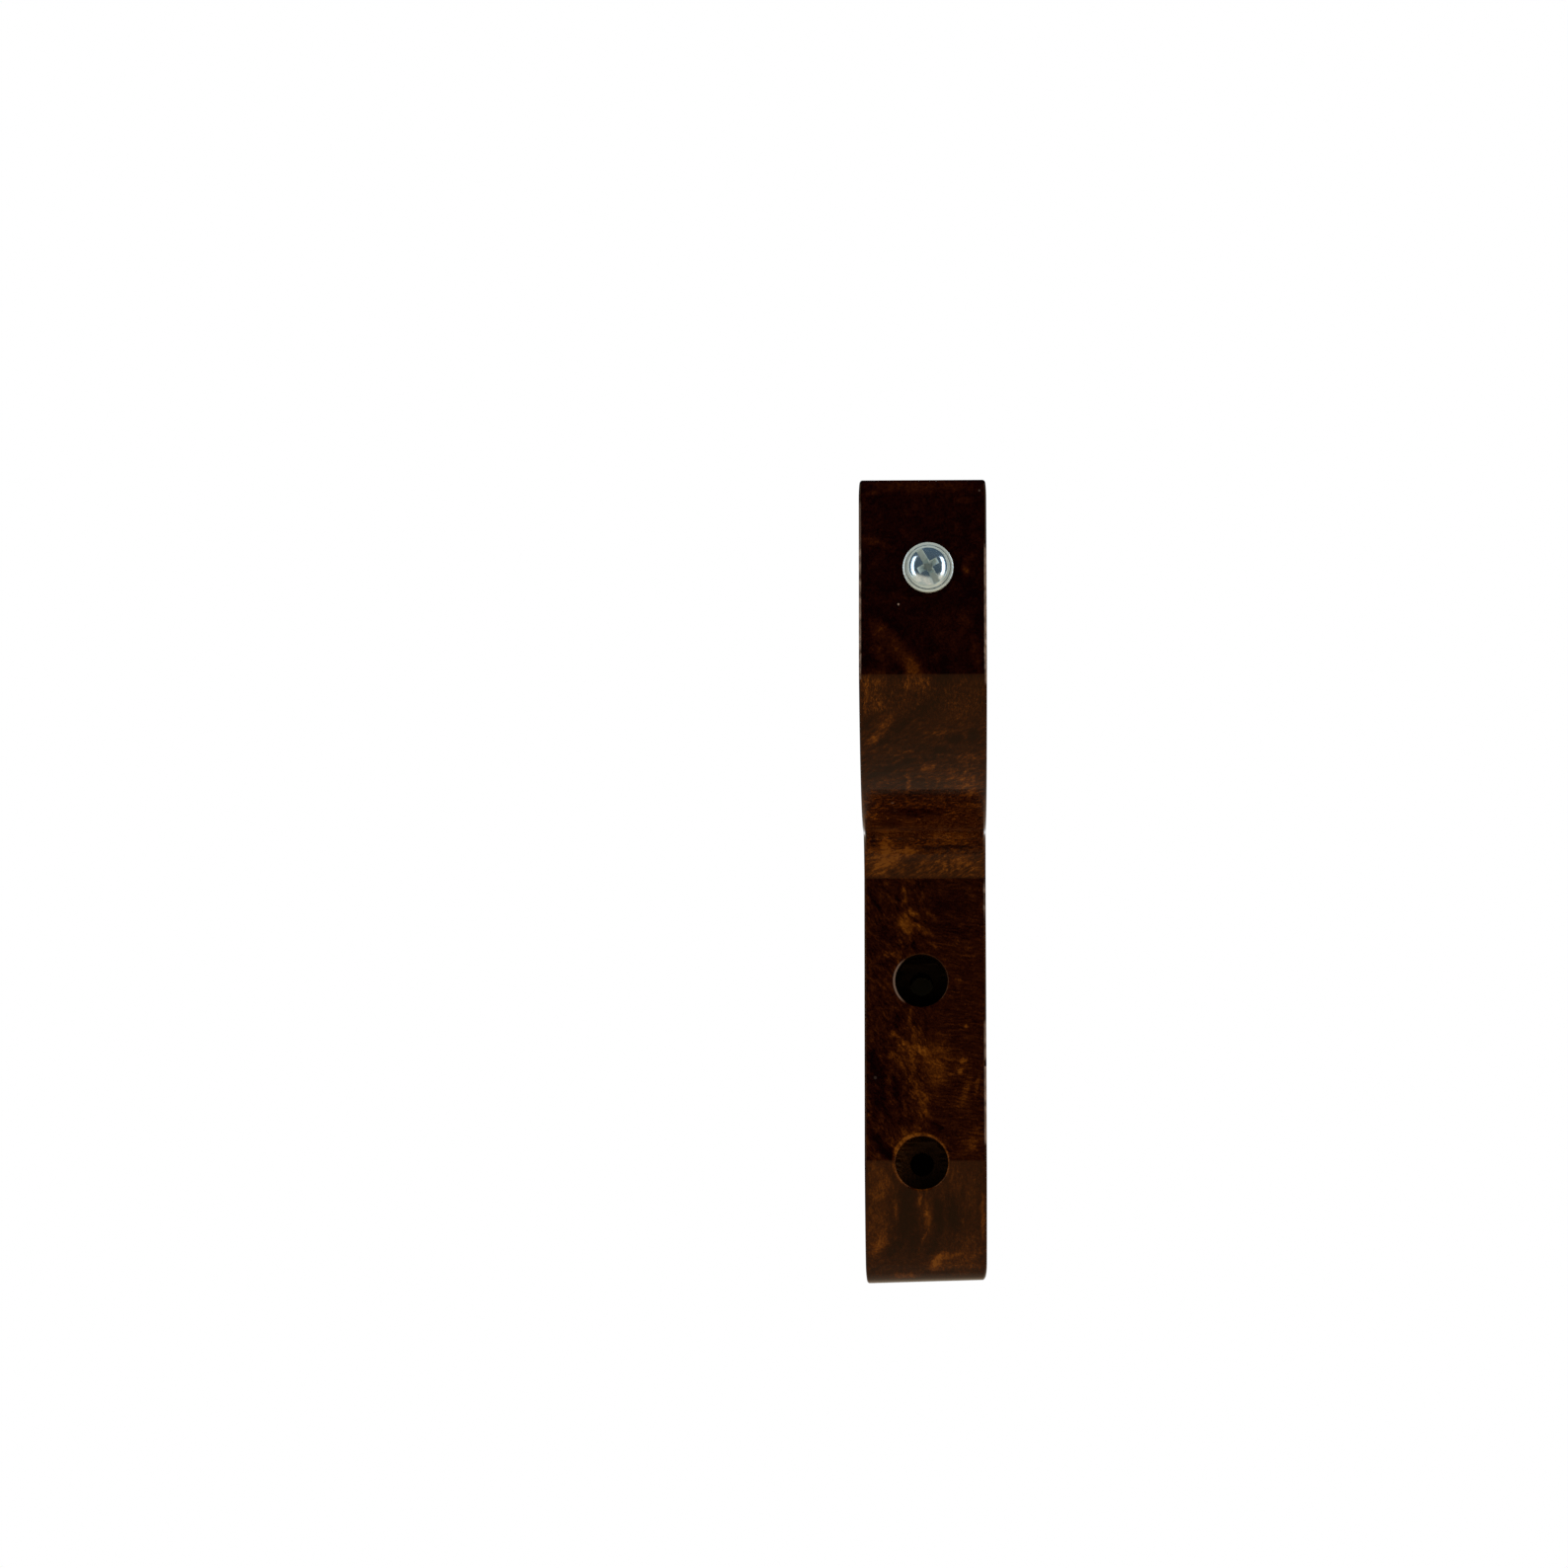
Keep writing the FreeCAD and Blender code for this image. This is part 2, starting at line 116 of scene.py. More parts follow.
def slice_level(bm, normal, first, last, step, faces=None):
    """Cuts parallel slices through the mesh, or through the part of it that the faces are."""
    faces = list(bm.faces if faces is None else faces)
    edges = dict.fromkeys(edge for face in faces for edge in face.edges)
    verts = dict.fromkeys(vert for face in faces for vert in face.verts)
    geometry = faces + list(edges) + list(verts)
    level = first
    while level < last:
        cut = bmesh.ops.bisect_plane(
            bm, geom=geometry, plane_co=Vector(normal) * level, plane_no=normal
        )
        geometry = cut["geom"]
        level += step


def finished_piece(name, bm, sharp_above=40):
    """The piece made from its bmesh, smooth apart from its true corners."""
    mesh = bpy.data.meshes.new(name)
    bm.to_mesh(mesh)
    bm.free()
    mesh.shade_smooth()
    mesh.set_sharp_from_angle(angle=math.radians(sharp_above))
    piece = bpy.data.objects.new(name, mesh)
    bpy.context.scene.collection.objects.link(piece)
    return piece


def side_inset(point):
    """How far a point lies in from the arm's nearer side."""
    return min(right_side - point.x, point.x - left_side)


def long_edge_faces(bm, first, last):
    """The faces of the two rounded long edges between these heights."""
    chosen = []
    for face in bm.faces:
        middle = face.calc_center_median()
        is_round = 0.1 < abs(face.normal.x) < 0.995
        if is_round and side_inset(middle) < arris and first < middle.z < last:
            chosen.append(face)
    return chosen


arm_mesh = merged_copy("bracket_arm")
slice_level(arm_mesh, (0, 0, 1), arm_bottom + slice_step / 2, arm_top, slice_step)
slice_level(arm_mesh, (0, 1, 0), sliced_from, sliced_to, slice_step)
for side, height, half_length, depth, bareness in edge_chips:
    first = (height - half_length) * MM
    last = (height + half_length) * MM
    edge_faces = long_edge_faces(arm_mesh, first - slice_step, last + slice_step)
    slice_level(arm_mesh, (0, 0, 1), first, last, chip_step, edge_faces)

front_share = arm_mesh.verts.layers.float.new("front_share")
# This attribute marks bare wood in chips and worn lacquer, and also painted highlights along the long
# edges' rounding
bare_wood_and_glints = arm_mesh.verts.layers.float.new("bare_wood_and_glints")
arm_mesh.normal_update()
for vert in arm_mesh.verts:
    vert[front_share] = min(1, max(0, side_inset(vert.co) / arris))


def chip_away(vert):
    """Pushes a point of a long edge into its chip, and marks how bare the wood is there."""
    faces_front = vert.normal.y <= -0.05
    if side_inset(vert.co) > arris or not faces_front:
        return
    for side, height, half_length, depth, bareness in edge_chips:
        off = abs(vert.co.z / MM - height) / half_length
        if (side == "right") == (vert.co.x > 0) and off < 1:
            ragged = 0.6 + 0.8 * abs(noise.noise(vert.co / MM * 2.1))
            bite = (1 - off**2) * ragged
            vert.co -= vert.normal * bite * depth * MM
            vert[bare_wood_and_glints] = max(vert[bare_wood_and_glints], min(1, bite * 1.4) * bareness)


def wear_pale_and_glint(vert):
    """Marks a point of a long edge's rounding pale, where the lacquer has worn through and as a painted
    highlight of the lamps on the rounding.
    """
    round_share = min(1, 2.6 * abs(vert.normal.x) * math.hypot(vert.normal.y, vert.normal.z))
    if side_inset(vert.co) > arris or round_share < 0.3:
        return
    for side, top, bottom, bareness in worn_and_glinting_edges:
        if (side == "right") == (vert.co.x > 0) and bottom < vert.co.z / MM < top:
            ragged = 0.75 + 0.9 * noise.noise(vert.co / MM * 0.9)
            vert[bare_wood_and_glints] = max(vert[bare_wood_and_glints], min(1, round_share * bareness * ragged))


for vert in arm_mesh.verts:
    chip_away(vert)
    wear_pale_and_glint(vert)

for vert in arm_mesh.verts:
    from_end = min(arm_top - vert.co.z, vert.co.z - arm_bottom)
    if from_end < sanded_length:
        taken = sanded_off * (1 - from_end / sanded_length) ** 2
        vert.co.x -= math.copysign(taken, vert.co.x - (left_side + right_side) / 2)

# The bottom end was sanded a little out of square, and its right corner most; in mm
uneven_length = 3.0
end_slope = 0.022
corner_reach = 1.4
corner_lift = 0.45
for vert in arm_mesh.verts:
    from_end = (vert.co.z - arm_bottom) / MM
    if from_end < uneven_length:
        from_left = (vert.co.x - left_side) / MM
        into_corner = max(0, (vert.co.x - right_side) / MM + corner_reach)
        lift = end_slope * from_left + corner_lift * into_corner**2 / corner_reach
        vert.co.z += lift * (1 - from_end / uneven_length) * MM

arm = finished_piece("wooden_arm", arm_mesh)

# The flat sides keep their own shading right up to the rims of the pole bore
shading = bmesh.new()
shading.from_mesh(arm.data)
for edge in shading.edges:
    spot = edge.verts[0].co / MM
    from_axis = math.hypot(spot.y - pole_axis.y, spot.z - pole_axis.z)
    flat = [abs(face.normal.x) > 0.9999 for face in edge.link_faces]
    if from_axis < pole_bore_radius + rim_width and any(flat) and not all(flat):
        edge.smooth = False
shading.to_mesh(arm.data)
shading.free()
steady = arm.modifiers.new("flat_faces_stay_flat", "WEIGHTED_NORMAL")
steady.keep_sharp = True
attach(arm, "root")
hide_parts("bracket_arm")


def add_node(tree, kind, inputs=None, **settings):
    """A shader node with its settings, and a value or a link for each input named."""
    node = tree.nodes.new(kind)
    for name, value in settings.items():
        setattr(node, name, value)
    for key, value in (inputs or {}).items():
        if isinstance(value, bpy.types.NodeSocket):
            tree.links.new(value, node.inputs[key])
        else:
            node.inputs[key].default_value = value
    return node


def new_material(name):
    """An empty material, with its node tree and its output node."""
    material = bpy.data.materials.new(name)
    material.use_nodes = True
    tree = material.node_tree
    tree.nodes.clear()
    output = tree.nodes.new("ShaderNodeOutputMaterial")
    return material, tree, output


def reckoned(tree, operation, first, second):
    """Two sockets or numbers put together by a Math node's operation, as a socket."""
    return add_node(tree, "ShaderNodeMath", {0: first, 1: second}, operation=operation).outputs[0]


def added(tree, first, second):
    """The sum of two sockets or numbers."""
    return reckoned(tree, "ADD", first, second)


def scaled(tree, value, factor):
    """One socket times another, or times a number."""
    return reckoned(tree, "MULTIPLY", value, factor)


def larger(tree, first, second):
    """The larger of two sockets or numbers."""
    return reckoned(tree, "MAXIMUM", first, second)


def vector_math(tree, operation, inputs):
    """The outputs of a Vector Math node."""
    return add_node(tree, "ShaderNodeVectorMath", inputs, operation=operation).outputs


def place_in_mm(tree):
    """A point's own place in the object's coordinates, in mm."""
    coords = add_node(tree, "ShaderNodeTexCoord").outputs["Object"]
    return add_node(tree, "ShaderNodeMapping", {"Vector": coords, "Scale": (1 / MM,) * 3}).outputs[0]


def blended(tree, share, first, second):
    """Mixes two colours by a socket's share of the second."""
    mix = add_node(tree, "ShaderNodeMix", {"Factor": share, 6: first, 7: second}, data_type="RGBA")
    return mix.outputs[2]


def mixed(tree, share, first, second):
    """Mixes two numbers by a socket's share of the second."""
    return add_node(tree, "ShaderNodeMix", {"Factor": share, 2: first, 3: second}).outputs[0]


def between(tree, value, start, end, low=0.0, high=1.0):
    """Goes smoothly from low, where the value is at start, to high, where it is at end."""
    limits = {"Value": value, "From Min": start, "From Max": end, "To Min": low, "To Max": high}
    return add_node(tree, "ShaderNodeMapRange", limits, interpolation_type="SMOOTHSTEP").outputs[0]


def grain(tree, place, size, lean=0.0, detail=3.0):
    """Noise about zero with specks of this size in mm, their long way leaning from upright."""
    laid = add_node(
        tree,
        "ShaderNodeMapping",
        {"Vector": place, "Rotation": (0, math.radians(lean), 0), "Scale": size},
        vector_type="TEXTURE",
    )
    spread = add_node(
        tree,
        "ShaderNodeTexNoise",
        {"Vector": laid.outputs[0], "Scale": 1.0, "Detail": detail, "Roughness": 0.6},
    )
    return added(tree, spread.outputs["Fac"], -0.5)


# The figure on the arm's front: middle across and up, half length and half
# width in mm, lean from upright in degrees, and how much lighter (amber) or darker (near black)
# the wood is. The head and the underside are laid out in the plane of the head's face, the plate
# and the foot in the plane of the plate's face, each as the camera sees it.
head_figure = [
    # The first streak, a light band along the head's top edge, is painted light on that edge's rounding
    (0.5, 102.4, 12.0, 1.1, 90, 0.26),
    (-8.2, 101.1, 1.6, 0.5, 85, 0.34),
    (8.3, 99.7, 2.0, 0.6, 84, 0.20),
    (3.6, 95.8, 1.2, 0.6, 60, 0.10),
    (-8.4, 92.4, 2.2, 1.0, -70, 0.26),
    (-5.4, 91.2, 1.6, 0.5, -60, 0.12),
    (8.6, 87.0, 1.1, 0.6, -25, 0.50),
    (9.4, 89.2, 1.4, 0.9, 40, 0.22),
    (9.8, 82.6, 1.6, 0.7, 90, -0.16),
    (-8.2, 84.6, 2.4, 0.5, 84, -0.12),
    (-3.4, 82.0, 3.0, 0.5, -80, 0.12),
    (-7.8, 76.4, 1.8, 1.8, -50, 0.20),
    (-5.8, 74.2, 3.2, 2.3, -42, 0.22),
    (-2.8, 71.4, 3.4, 2.0, -36, 0.28),
    (-1.2, 69.4, 2.2, 1.8, -20, 0.26),
    (-8.4, 71.0, 2.2, 0.9, -42, -0.16),
    (-4.8, 77.0, 4.4, 0.9, -52, -0.16),
    (4.6, 69.6, 2.0, 1.1, 0, -0.20),
    (2.4, 73.8, 2.0, 1.0, 0, -0.10),
    (8.4, 77.4, 1.6, 1.0, -30, 0.18),
    (10.4, 71.6, 3.0, 1.0, -8, 0.20),
    (5.6, 75.0, 4.6, 4.2, 0, 0.10),
    (-7.6, 71.6, 2.6, 1.8, -40, 0.18),
    (-7.8, 67.4, 1.6, 2.6, 0, 0.20),
]
underside_figure = [
    (-9.5, 65.6, 2.4, 0.8, 0, 0.26),
    (-9.7, 62.4, 1.6, 0.5, 4, 0.20),
    (-0.6, 66.8, 2.2, 2.2, 0, 0.24),
    (-2.1, 66.4, 2.4, 0.4, 3, 0.16),
    (0.4, 66.2, 2.0, 0.4, 0, 0.14),
    (1.5, 66.9, 1.8, 0.3, -3, 0.14),
    (4.4, 66.8, 1.5, 1.8, 0, -0.24),
    (-5.8, 65.0, 2.6, 1.4, 0, -0.10),
    (-8.3, 59.8, 2.4, 0.8, 55, -0.28),
    (-6.8, 57.6, 3.4, 0.9, 45, 0.30),
    (-8.6, 55.9, 1.5, 0.8, 38, 0.24),
    (-5.0, 60.2, 1.4, 0.7, 50, 0.20),
    (-3.2, 62.4, 1.6, 0.5, 42, 0.14),
    (-3.2, 58.4, 2.4, 1.1, 46, -0.28),
    (0.4, 61.2, 2.4, 1.0, 48, -0.22),
    (3.4, 63.4, 1.8, 0.8, 50, -0.18),
    (-6.4, 55.8, 1.6, 0.7, 48, -0.22),
    (5.6, 61.0, 3.2, 2.0, 70, 0.08),
    (3.0, 56.8, 2.4, 0.5, 80, 0.20),
    (8.5, 56.6, 0.8, 0.4, 0, 0.18),
    (6.6, 56.0, 1.7, 0.8, 78, -0.44),
    (9.9, 56.7, 1.2, 0.9, 20, -0.44),
    (0.9, 54.5, 1.5, 0.5, 76, -0.30),
    (4.0, 54.1, 1.5, 0.6, 80, -0.30),
    (-1.7, 52.1, 1.2, 0.6, 74, -0.44),
    (-5.0, 50.5, 3.4, 0.6, 68, -0.32),
    (-8.4, 49.3, 1.8, 0.5, 76, -0.26),
    (1.8, 51.0, 1.7, 0.8, 62, 0.40),
    (9.4, 52.8, 2.6, 0.8, 74, 0.30),
    (-2.0, 48.2, 1.7, 0.6, 0, 0.34),
    (7.2, 48.0, 4.0, 1.2, 86, 0.26),
    (-7.4, 63.6, 3.6, 2.4, 0, 0.20),
    (-7.6, 60.2, 2.0, 2.0, 0, 0.12),
    (2.6, 61.0, 2.6, 2.2, 40, -0.14),
    (8.2, 61.4, 2.6, 2.2, 0, 0.12),
    (-1.8, 56.6, 2.2, 2.2, 40, -0.14),
    (2.6, 53.4, 2.6, 1.4, 70, -0.12),
    (-7.0, 50.4, 2.8, 1.4, 80, -0.08),
    (4.6, 49.8, 4.4, 1.3, 84, 0.14),
    (9.0, 49.6, 2.6, 1.6, 70, 0.16),
    (9.2, 46.6, 2.6, 1.5, 88, 0.26),
    (-8.0, 46.2, 2.0, 1.2, 88, 0.10),
    (-6.6, 35.2, 3.4, 3.0, 10, 0.18),
    (-1.6, 35.4, 2.0, 1.4, 80, 0.12),
    (-5.6, 48.2, 2.6, 0.5, 74, 0.14),
    (-1.0, 42.6, 5.0, 1.1, 90, -0.30),
    (-4.8, 40.6, 1.8, 0.7, 80, -0.24),
    (-8.2, 42.0, 1.6, 0.8, 90, 0.18),
    (5.6, 38.6, 4.6, 1.1, 90, 0.26),
    (5.6, 36.2, 4.6, 0.4, 90, -0.30),
    (-8.1, 37.6, 1.5, 0.5, 0, -0.26),
    (-5.9, 36.8, 2.6, 1.3, 8, 0.26),
    (-6.8, 33.0, 2.4, 1.2, 14, 0.26),
    (-4.4, 34.2, 1.8, 0.9, 36, 0.24),
    (-2.2, 35.6, 2.2, 0.6, 90, 0.26),
    (-1.6, 33.0, 1.6, 1.2, 20, -0.16),
    (6.0, 33.4, 4.6, 1.6, 90, 0.16),
    (5.4, 32.7, 1.5, 0.35, 0, -0.26),
    (6.7, 32.7, 1.5, 0.3, 0, -0.20),
]
plate_figure = [
    (-3.6, 34.8, 0.7, 0.5, -10, 0.40),
    (-3.0, 33.0, 1.0, 0.5, -20, 0.30),
    (-1.6, 30.6, 1.2, 0.6, -30, 0.30),
    (-3.0, 28.6, 2.4, 1.1, -30, 0.14),
    (-3.2, 27.4, 1.8, 0.7, -42, 0.14),
    (1.3, 26.6, 1.8, 0.7, -58, 0.26),
    (2.3, 29.8, 1.3, 0.4, -42, 0.30),
    (-8.8, 32.0, 3.4, 0.5, -36, -0.24),
    (-6.9, 26.6, 2.6, 1.0, -30, -0.20),
    (-1.2, 24.0, 1.0, 0.6, -10, -0.26),
    (2.2, 24.2, 1.8, 0.5, -50, 0.20),
    (-5.2, 22.6, 1.8, 0.8, -24, 0.20),
    (6.6, 24.0, 4.0, 0.3, -84, 0.16),
    (8.0, 22.4, 3.4, 0.3, -87, 0.14),
    (5.8, 27.0, 5.0, 1.2, -84, -0.12),
    (6.4, 31.6, 4.0, 1.6, -80, -0.12),
    (9.4, 34.0, 1.6, 0.8, -30, 0.12),
    (7.2, 17.0, 1.4, 0.5, 0, 0.18),
    (-8.2, 17.0, 1.4, 0.6, -50, 0.14),
    (-2.2, 10.4, 1.8, 0.5, 4, 0.24),
    (-1.0, 7.6, 1.4, 1.2, 0, 0.26),
    (-4.6, 9.6, 2.2, 0.5, 5, -0.26),
    (1.0, 9.6, 2.4, 0.4, -2, -0.22),
    (-5.4, 7.2, 1.1, 0.6, -25, 0.28),
    (4.0, 7.2, 1.8, 0.8, -84, 0.14),
    (-2.0, 4.4, 3.2, 0.9, -78, 0.12),
    (3.2, 3.4, 3.4, 1.0, -82, 0.10),
    (-5.2, 2.0, 1.6, 1.0, -40, 0.26),
    (0.5, 1.6, 4.4, 0.6, 88, 0.10),
    (-8.8, 0.6, 4.6, 1.6, -22, -0.34),
    (-7.6, -6.2, 4.4, 1.5, -30, -0.24),
    (-4.6, -4.0, 3.0, 0.8, -14, -0.26),
    (-7.4, -14.4, 3.8, 1.1, -40, -0.36),
    (-0.4, -4.6, 4.0, 1.5, -14, 0.26),
    (1.0, -8.0, 1.6, 0.7, -30, 0.26),
    (3.8, -3.2, 1.4, 1.0, 0, -0.14),
    (8.6, -3.4, 3.0, 0.7, 16, 0.26),
    (10.6, -2.6, 2.6, 0.5, 8, 0.26),
    (3.0, -10.4, 2.8, 0.7, -50, -0.26),
    (-2.6, -9.4, 1.8, 0.7, -60, -0.16),
    (10.0, -13.6, 2.4, 1.1, 35, 0.20),
    (-2.4, 27.6, 3.0, 2.4, -30, 0.22),
    (-2.6, 31.0, 1.8, 1.4, -20, 0.12),
    (3.4, 31.0, 2.4, 2.0, 0, -0.10),
    (-1.8, 4.4, 3.6, 2.6, -84, 0.24),
    (3.0, 3.4, 3.2, 2.6, -70, 0.24),
    (2.8, -0.4, 2.8, 2.2, -60, 0.32),
    (7.6, 0.8, 2.4, 2.2, 0, 0.18),
    (-2.6, 0.4, 2.4, 1.8, 0, 0.18),
    (2.8, -3.8, 2.4, 2.0, 0, 0.14),
    (7.4, -6.6, 2.6, 2.2, 10, 0.12),
    (-1.8, -11.2, 2.6, 1.0, 70, 0.22),
    (9.4, -12.6, 3.0, 1.4, 30, 0.12),
    (8.4, 8.5, 0.5, 0.4, 80, 0.44),
    (8.3, 2.2, 0.8, 0.35, 80, 0.44),
    (7.6, 0.2, 0.7, 0.5, 30, 0.34),
]
foot_figure = [
    (-8.6, -18.6, 2.0, 1.8, 30, 0.16),
    (-6.6, -20.6, 1.8, 0.6, -20, 0.20),
    (-8.2, -26.0, 5.0, 2.0, 6, 0.10),
    (-4.9, -26.4, 2.8, 0.5, -2, 0.30),
    (-7.8, -32.4, 3.0, 0.9, 24, 0.22),
    (-2.6, -23.4, 2.8, 1.7, -4, -0.36),
    (-3.0, -28.6, 3.6, 2.1, 4, -0.38),
    (-5.4, -33.6, 2.6, 1.0, 48, -0.30),
    (-1.6, -33.0, 2.4, 1.2, 20, -0.24),
    (-0.3, -24.0, 1.5, 0.7, 0, 0.34),
    (1.1, -27.4, 3.0, 0.8, 0, 0.44),
    (0.4, -31.2, 1.0, 0.4, 20, 0.20),
    (3.1, -27.0, 3.6, 0.9, -4, -0.40),
    (5.8, -27.2, 3.6, 1.4, -8, -0.40),
    (2.0, -33.4, 2.0, 1.1, 24, -0.30),
    (6.0, -19.8, 2.4, 1.6, -10, 0.14),
    (9.4, -23.0, 3.4, 1.2, 0, 0.14),
    (11.6, -27.5, 5.0, 0.5, 0, 0.36),
    (2.8, -36.2, 1.5, 0.9, 28, 0.36),
    (-8.4, -22.0, 3.0, 2.6, 0, 0.20),
    (-8.6, -29.6, 4.4, 2.4, 0, 0.18),
    (-8.4, -33.6, 2.6, 2.2, 20, 0.16),
    (2.8, -29.8, 2.2, 1.2, 0, -0.14),
    (8.8, -33.4, 3.0, 2.4, 20, 0.18),
    (3.2, -36.6, 3.0, 1.8, 80, 0.24),
    (8.4, -37.0, 3.4, 1.6, 84, 0.24),
    (-8.2, -37.2, 3.0, 1.2, 84, 0.12),
    (5.2, -34.9, 2.8, 0.8, 84, 0.34),
    (10.4, -34.4, 2.0, 0.8, 60, 0.16),
    (-3.0, -38.7, 2.8, 0.5, 86, 0.40),
    (-8.4, -37.2, 2.0, 0.5, 62, -0.24),
    (4.0, -38.0, 6.0, 0.5, 86, -0.10),
]
figure_depth = 4.5
longest_streak = 11.0
streak_spread = 1.45
streak_core = 0.8

# The camera's place in mm, and the surface that it looks at
eye = Vector((5.39, -950.0, -69.2))
arm_surface = BVHTree.FromPolygons(
    [vert.co / MM for vert in arm.data.vertices],
    [face.vertices for face in arm.data.polygons],
)


def seen_point(across, plane, up):
    """The line of sight through this point of the plane, and the arm's point and normal on it."""
    sight = Vector((across, plane, up)) - eye
    middle, facing = arm_surface.ray_cast(eye, sight.normalized())[:2]
    return sight, middle, facing


def figure_on_front(tree, place, streaks, plane):
    """The sum of these streaks, each a soft long spot that lies in the arm's surface."""
    total = 0.0
    for across, up, half_length, half_width, lean, amount in streaks:
        sight, middle, facing = seen_point(across, plane, up)
        slope = math.atan2(-facing.z, -facing.y)
        shortening = math.cos(slope) + math.sin(slope) * sight.z / sight.y
        run_across = half_length * math.sin(math.radians(lean))
        run_up = half_length * math.cos(math.radians(lean)) / shortening
        length = min(longest_streak, math.hypot(run_across, run_up))
        width = min(longest_streak, half_width * half_length / shortening / length)
        spot = add_node(
            tree, "ShaderNodeTexGradient", {"Vector": place}, gradient_type="SPHERICAL"
        )
        laid = spot.texture_mapping
        laid.vector_type = "TEXTURE"
        laid.translation = middle
        turned = Euler((slope, math.atan2(run_across, run_up), 0), "YXZ")
        laid.rotation = turned.to_matrix().to_euler("XYZ")
        laid.scale = Vector((width, figure_depth, length)) * streak_spread
        lightness = between(tree, spot.outputs["Fac"], 0.0, streak_core, high=amount)
        total = added(tree, total, lightness)
    return total


def head_grain(tree, place, upright):
    """Specks in the head's face, short upright fibres at the nose, slanted ones below it."""
    specks = scaled(tree, grain(tree, place, (0.50, 0.50, 0.50), detail=4.0), 0.90)
    short = scaled(tree, grain(tree, place, (0.28, 0.5, 1.6)), 1.7)
    slanted = scaled(tree, grain(tree, place, (0.45, 0.8, 2.0), lean=62), 1.7)
    clouds = scaled(tree, grain(tree, place, (2.4, 2.4, 1.6), lean=-40), 0.6)
    fan = mixed(tree, between(tree, upright, 58.0, 63.0), slanted, short)
    below = added(tree, fan, scaled(tree, specks, 0.7))
    in_face = added(tree, specks, clouds)
    return mixed(tree, between(tree, upright, 67.0, 68.5), below, in_face)


def plate_grain(tree, place, upright):
    """Slanted strokes on the plate's left, level lines on its right, upright bands in the foot."""
    fine = scaled(tree, grain(tree, place, (0.38, 0.5, 0.38), detail=4.0), 0.7)
    blotches = scaled(tree, grain(tree, place, (1.3, 1.3, 2.0), lean=-30), 0.9)
    strokes = added(tree, scaled(tree, grain(tree, place, (0.45, 0.5, 1.4), lean=-38), 1.2), blotches)
    lines = scaled(tree, grain(tree, place, (0.36, 0.5, 2.2), lean=-82), 1.1)
    bands = scaled(tree, grain(tree, place, (0.55, 0.6, 5.0), detail=2.0), 0.9)
    across = add_node(tree, "ShaderNodeSeparateXYZ", {"Vector": place}).outputs["X"]
    on_plate = mixed(tree, between(tree, across, -0.5, 4.5), strokes, lines)
    return added(tree, mixed(tree, between(tree, upright, -19.0, -15.0), bands, on_plate), fine)


# Small pale marks in the lacquer: middle across and up, radius in mm, and how pale
head_specks = [(-3.65, 80.7, 0.20, 0.85), (11.1, 101.6, 0.22, 0.16), (-4.8, 44.4, 0.34, 0.20)]
plate_specks = [(-8.8, -1.2, 0.34, 0.09)]


def pale_specks(tree, in_mm, specks, plane):
    """How pale the lacquer's small marks are."""
    total = 0.0
    for across, up, radius, paleness in specks:
        middle = seen_point(across, plane, up)[1]
        off = vector_math(tree, "DISTANCE", {0: in_mm, 1: middle})["Value"]
        total = added(tree, total, between(tree, off, radius * 0.5, radius * 1.2, paleness, 0.0))
    return total


def off_axis(tree, in_mm, mask, point):
    """Distance in mm from a level line through this point; the mask is 0 along the line."""
    flat = vector_math(tree, "MULTIPLY", {0: in_mm, 1: mask})[0]
    return vector_math(tree, "DISTANCE", {0: flat, 1: point})["Value"]


def pole_bore_marks(tree, in_mm):
    """How dark the pole's bore is inside, with no pale or amber mouth."""
    from_axis = off_axis(tree, in_mm, (0, 1, 1), (0, pole_axis.y, pole_axis.z))
    inside = between(tree, from_axis, pole_bore_radius, pole_bore_radius + 0.05, 0.7, 0.0)
    return inside, 0.0, 0.0


def wall_screw_hole(tree, in_mm, height):
    """1 within the counterbore's radius of a wall-screw hole's axis, and 0 outside."""
    from_hole = off_axis(tree, in_mm, (1, 0, 1), (0, 0, height))
    return between(tree, from_hole, counterbore_radius, counterbore_radius + 0.05, 1.0, 0.0)


# The middles of the marks round the two holes' mouths, a little off the holes' own: a painted highlight
# on the upper mouth, an amber ring on the lower
glint_mouth_middle = (-0.30, 0, 17.24)
amber_mouth_middle = (-0.24, 0, -17.08)


def screw_hole_marks(tree, in_mm):
    """How dark the wall-screw holes are inside (painted shade), how pale one mouth is (a painted
    highlight) and how amber the other.
    """
    parts = add_node(tree, "ShaderNodeSeparateXYZ", {"Vector": in_mm}).outputs
    behind_face = between(tree, parts["Y"], plate_front + 0.02, plate_front + 0.25)
    before_back = between(tree, parts["Y"], -0.08, -0.03, 1.0, 0.0)
    # Painted shade inside the holes: the upper one nearly black, the lower one less dark on its left,
    # where its wall catches light
    upper = scaled(tree, wall_screw_hole(tree, in_mm, wall_screw_height), 0.98)
    lower_darkness = between(tree, parts["X"], -4.8, 0.5, 0.50, 0.90)
    lower = scaled(tree, wall_screw_hole(tree, in_mm, -wall_screw_height), lower_darkness)
    drilled_and_shaded = scaled(tree, scaled(tree, added(tree, upper, lower), behind_face), before_back)

    # A painted highlight on the left of the upper hole's mouth, where its rounding catches the lamp
    off_pale = off_axis(tree, in_mm, (1, 0, 1), glint_mouth_middle)
    pale = between(tree, off_pale, counterbore_radius + 0.02, counterbore_radius + 0.2, 0.42, 0.0)
    in_front = between(tree, parts["Y"], plate_front + 0.2, plate_front + 0.6, 1.0, 0.0)
    on_left = between(tree, parts["X"], -4.5, -2.8, 1.0, 0.0)
    pale = scaled(tree, scaled(tree, pale, in_front), on_left)

    off_amber = off_axis(tree, in_mm, (1, 0, 1), amber_mouth_middle)
    amber = between(tree, off_amber, counterbore_radius + 0.2, counterbore_radius + 0.7, 0.45, 0.0)
    return drilled_and_shaded, pale, amber


